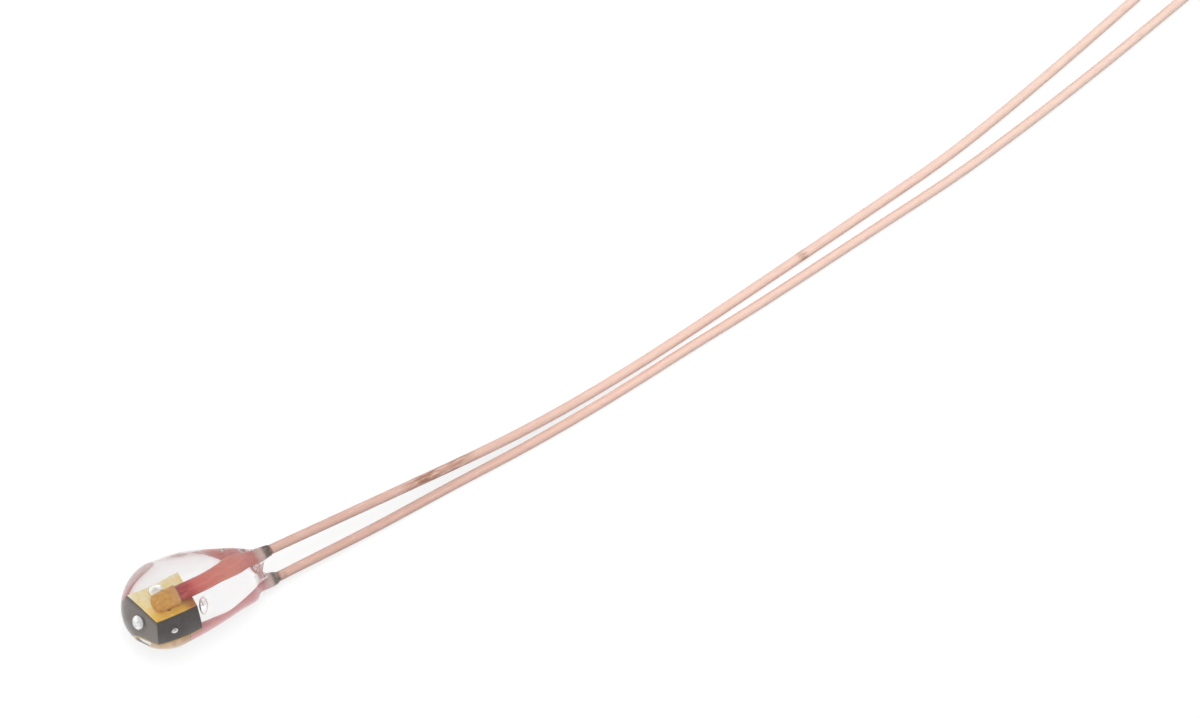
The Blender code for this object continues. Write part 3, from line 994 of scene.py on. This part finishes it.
def markRun(wire, route):  # each vertex keeps its turn round the wire and its run along it in mm
    spots = [beadMatrix @ (place * mm) for place in route]
    runs = [0.0]
    for a, b in zip(spots, spots[1:]):
        runs.append(runs[-1] + (b - a).length / mm)
    turnedBack = beadMatrix.inverted()
    places = [(turnedBack @ place).x for place in spots]
    mark = wire.data.attributes.new(wireLook["attribute"], "FLOAT_VECTOR", "POINT")
    for i, vert in enumerate(wire.data.vertices):
        local = turnedBack @ vert.co
        k = max(j for j in range(len(places) - 1) if j == 0 or places[j] <= local.x)
        line = spots[k + 1] - spots[k]
        share = min(max((vert.co - spots[k]).dot(line) / line.length_squared, 0), 1)
        off = vert.co - spots[k].lerp(spots[k + 1], share)
        sideways = line.normalized().cross(Vector((0, 0, 1))).normalized()
        turn = atan2(off.z, off.dot(sideways))
        run = runs[k] + share * (runs[k + 1] - runs[k])
        mark.data[i].vector = (cos(turn), sin(turn), run)


def ringRound(tree, run, ends, softness):  # 1 between two places on a wire, with soft ends
    start, end = ends
    softStart, softEnd = softness
    opens = span(tree, run, start - softStart, start + softStart)
    closes = span(tree, run, end + softEnd, end - softEnd)
    return times(tree, opens, closes)


def wandering(tree, run, pattern, reach):  # a run whose rings aren't quite straight
    sway = times(tree, reckon(tree, "SUBTRACT", pattern, 0.5), reach)
    return reckon(tree, "ADD", run, sway)


def paintWire(piece, route, own):
    tree, shader = finishFor(piece, piece.name + " metal")
    exitRun = insideLength(route)
    where = inMillimetres(tree)
    run = add(tree, "Attribute", attribute_name=wireLook["attribute"]).outputs["Vector"]
    axes = axesOf(tree, run)
    along = axes["Z"]
    stretched = vectors(tree, "MULTIPLY", run, wireLook["streakStretch"])[0]
    streaks = noise(tree, stretched, *wireLook["streaks"])
    stretched = vectors(tree, "MULTIPLY", run, wireLook["lineStretch"])[0]
    fineLines = noise(tree, stretched, *wireLook["fineLines"])
    patches = noise(tree, run, *wireLook["patches"])
    raggedRun = wandering(tree, along, patches, wireLook["wander"])

    # in the glass
    share = reckon(tree, "DIVIDE", raggedRun, exitRun)
    under = span(tree, axes["Y"], *wireLook["underside"])
    red = mix(tree, under, ramp(tree, share, own["top"]), ramp(tree, share, own["under"]))
    red = mix(tree, ramp(tree, streaks, wireLook["redStreaks"]), red, wireLook["redStreak"])
    red = mix(tree, ramp(tree, fineLines, wireLook["redLines"]), red, wireLook["redLine"])
    red = shade(tree, red, noise(tree, where, *wireLook["specks"]), wireLook["specksDark"])

    # outside the glass
    paler = span(tree, along, exitRun, exitRun + wireLook["copperLength"])
    copper = ramp(tree, paler, wireLook["copper"])
    lines = ramp(tree, fineLines, wireLook["copperLines"])
    copper = mix(tree, lines, copper, wireLook["copperLine"])
    # pale streaks: drawn streaks, partly a painted highlight
    streakGlint = ramp(tree, streaks, wireLook["copperStreakGlints"])
    copper = mix(tree, streakGlint, copper, wireLook["copperStreakGlint"])
    for walked, radius, tone, weight in own["stains"]:
        mark = spot(tree, where, onWire(route, walked), radius, wireLook["stainSoftness"])
        none, full = wireLook["stainFrom"]
        mark = times(tree, mark, ramp(tree, patches, ((none, 0.0), (full, weight))))
        copper = mix(tree, mark, copper, tone)
    soft = wireLook["exitSoftness"]
    outside = span(tree, raggedRun, exitRun - soft, exitRun + soft)
    body = mix(tree, outside, red, copper)

    # the oxide collar and the pale ring at the end of the glass
    crust = noise(tree, where, *wireLook["crust"])
    ringRun = wandering(tree, along, crust, wireLook["crustWander"])
    collarEnds = [exitRun + off for off in own["collar"]]
    collar = ringRound(tree, ringRun, collarEnds, wireLook["collarSoftness"])
    paleEnds = [exitRun + off for off in own["paleRing"]]
    pale = ringRound(tree, ringRun, paleEnds, wireLook["paleSoftness"])
    body = mix(tree, times(tree, pale, wireLook["paleWeight"]), body, wireLook["pale"])
    body = mix(tree, collar, body, ramp(tree, crust, wireLook["oxide"]))
    tree.links.new(body, shader.inputs["Base Color"])
    bare = times(tree, outside, reckon(tree, "SUBTRACT", 1.0, collar))
    tree.links.new(times(tree, bare, wireLook["metallic"]), shader.inputs["Metallic"])
    tree.links.new(ramp(tree, patches, wireLook["roughness"]), shader.inputs["Roughness"])
    height = mix(tree, wireLook["bumpBlend"], fineLines, patches)
    bump(tree, shader, height, *wireLook["bump"])


markRun(upperWire, upperRoute)
markRun(lowerWire, lowerRoute)
paintChip(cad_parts["sensing_chip"])
paintFilm(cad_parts["upper_electrode"], True)
paintFilm(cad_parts["lower_electrode"], False)
paintPaste(upperPaste, pasteLook["upper"])
paintPaste(lowerPaste, pasteLook["lower"])
paintGlass(drop)
for bubble, misted in gasBubbles:
    paintBubble(bubble, misted)
paintWire(upperWire, upperRoute, wireLook["upper"])
paintWire(lowerWire, lowerRoute, wireLook["lower"])
print("finishes made")


table = {
    "size": 1.2,
    "grain": (0.6, 3),
    "lit": ((0.3, 0.52), (0.7, 0.56)),
    # what the camera, gloss and glass see: a white glow that still takes a faint shadow
    "glow": 0.80,
    "faint": (0.24, 0.24, 0.24, 1),
}


def paintFloor(piece):
    tree, shader = finishFor(piece, "pale table")
    tree.nodes.remove(shader)
    tone = ramp(tree, noise(tree, inMillimetres(tree), *table["grain"]), table["lit"])
    lit = add(tree, "BsdfDiffuse", {"Color": tone}).outputs[0]
    glow = add(tree, "Emission", {"Color": (1, 1, 1, 1), "Strength": table["glow"]}).outputs[0]
    faint = add(tree, "BsdfDiffuse", {"Color": table["faint"]}).outputs[0]
    seen = add(tree, "AddShader", {0: glow, 1: faint}).outputs[0]
    path = add(tree, "LightPath").outputs
    shows = reckon(tree, "MAXIMUM", path["Is Camera Ray"], path["Is Glossy Ray"])
    shows = reckon(tree, "MAXIMUM", shows, path["Is Transmission Ray"])
    surface = add(tree, "MixShader", {0: shows, 1: lit, 2: seen}).outputs[0]
    tree.links.new(surface, tree.nodes["Material Output"].inputs["Surface"])


studio = {
    # light on open surfaces, from the horizon up
    "horizon": (-0.1, 1.0),
    "outer": ((0.0, 0.06), (0.35, 0.11), (0.8, 0.22), (1.0, 0.26)),
    "throughGlass": 0.38,  # extra light that makes up for what the glass sends back
    "lampPlace": (-0.04, 0.085, 0.27),
    "lampTilt": (-17.5, -8.4, 0),
    "lampSize": 0.16,
    "lampEnergy": 0.68,
    # light turns many times inside the drop before it leaves
    "bounces": 40,
    "glassBounces": 32,
}


def lightStudio():
    world = bpy.data.worlds.new("studio")
    bpy.context.scene.world = world
    world.use_nodes = True
    tree = world.node_tree
    height = axesOf(tree, add(tree, "TexCoord").outputs["Generated"])["Z"]
    outer = ramp(tree, span(tree, height, *studio["horizon"]), studio["outer"])
    path = add(tree, "LightPath").outputs
    glass = path["Is Transmission Ray"]
    # 1 until the ray has met a matt surface: the white that the camera and the glass see
    seen = reckon(tree, "LESS_THAN", path["Diffuse Depth"], 0.5)
    tone = mix(tree, reckon(tree, "MAXIMUM", seen, glass), outer, white)
    extra = times(tree, glass, reckon(tree, "SUBTRACT", 1.0, seen))
    level = reckon(tree, "ADD", 1.0, times(tree, extra, studio["throughGlass"]))
    tree.links.new(tone, tree.nodes["Background"].inputs["Color"])
    tree.links.new(level, tree.nodes["Background"].inputs["Strength"])
    nothingSelected()
    bpy.ops.object.light_add(type="AREA", location=studio["lampPlace"])
    lamp = bpy.context.object
    lamp.data.shape = "DISK"
    lamp.data.size = studio["lampSize"]
    lamp.data.energy = studio["lampEnergy"]
    lamp.visible_glossy = False
    lamp.visible_transmission = False
    lamp.rotation_euler = [radians(angle) for angle in studio["lampTilt"]]
    bpy.context.scene.view_settings.view_transform = "Standard"
    light = bpy.context.scene.cycles
    light.max_bounces = studio["bounces"]
    light.glossy_bounces = studio["glassBounces"]
    light.transmission_bounces = studio["glassBounces"]


nothingSelected()
bpy.ops.mesh.primitive_plane_add(size=table["size"])
floor = bpy.context.object
floor.name = "floor"
paintFloor(floor)
lightStudio()
print("floor and light set")


view = {
    "tilt": 17.6,  # how far the view leans along the bead's axis
    "turn": 26,  # how far the bead's axis is turned in the picture
    "distance": 500,
    "pixel": 0.025,
    "picture": (1200, 718),
    "beadAt": (165.4, 603.8),
    "sensor": 36,
    "clip": (0.01, 10),
}


def placeCamera():
    tilt, turn = radians(view["tilt"]), radians(view["turn"])
    along = Vector((cos(tilt), 0, sin(tilt)))
    across = Vector((0, -1, 0))
    turned = beadMatrix.to_3x3()
    rightward = turned @ (along * cos(turn) + across * sin(turn))
    upward = turned @ (along * sin(turn) - across * cos(turn))
    outward = turned @ Vector((-sin(tilt), 0, cos(tilt)))
    width, height = view["picture"]
    beadX, beadY = view["beadAt"]
    target = (
        beadMatrix.translation
        + rightward * (width / 2 - beadX) * view["pixel"] * mm
        + upward * (beadY - height / 2) * view["pixel"] * mm
    )
    facing = Matrix((rightward, upward, outward)).transposed().to_4x4()
    bpy.ops.object.camera_add()
    camera = bpy.context.object
    camera.matrix_world = Matrix.Translation(target + outward * view["distance"] * mm) @ facing
    camera.data.sensor_width = view["sensor"]
    camera.data.lens = view["sensor"] * view["distance"] / (width * view["pixel"])
    camera.data.clip_start, camera.data.clip_end = view["clip"]
    bpy.context.scene.camera = camera


placeCamera()
print("camera placed")
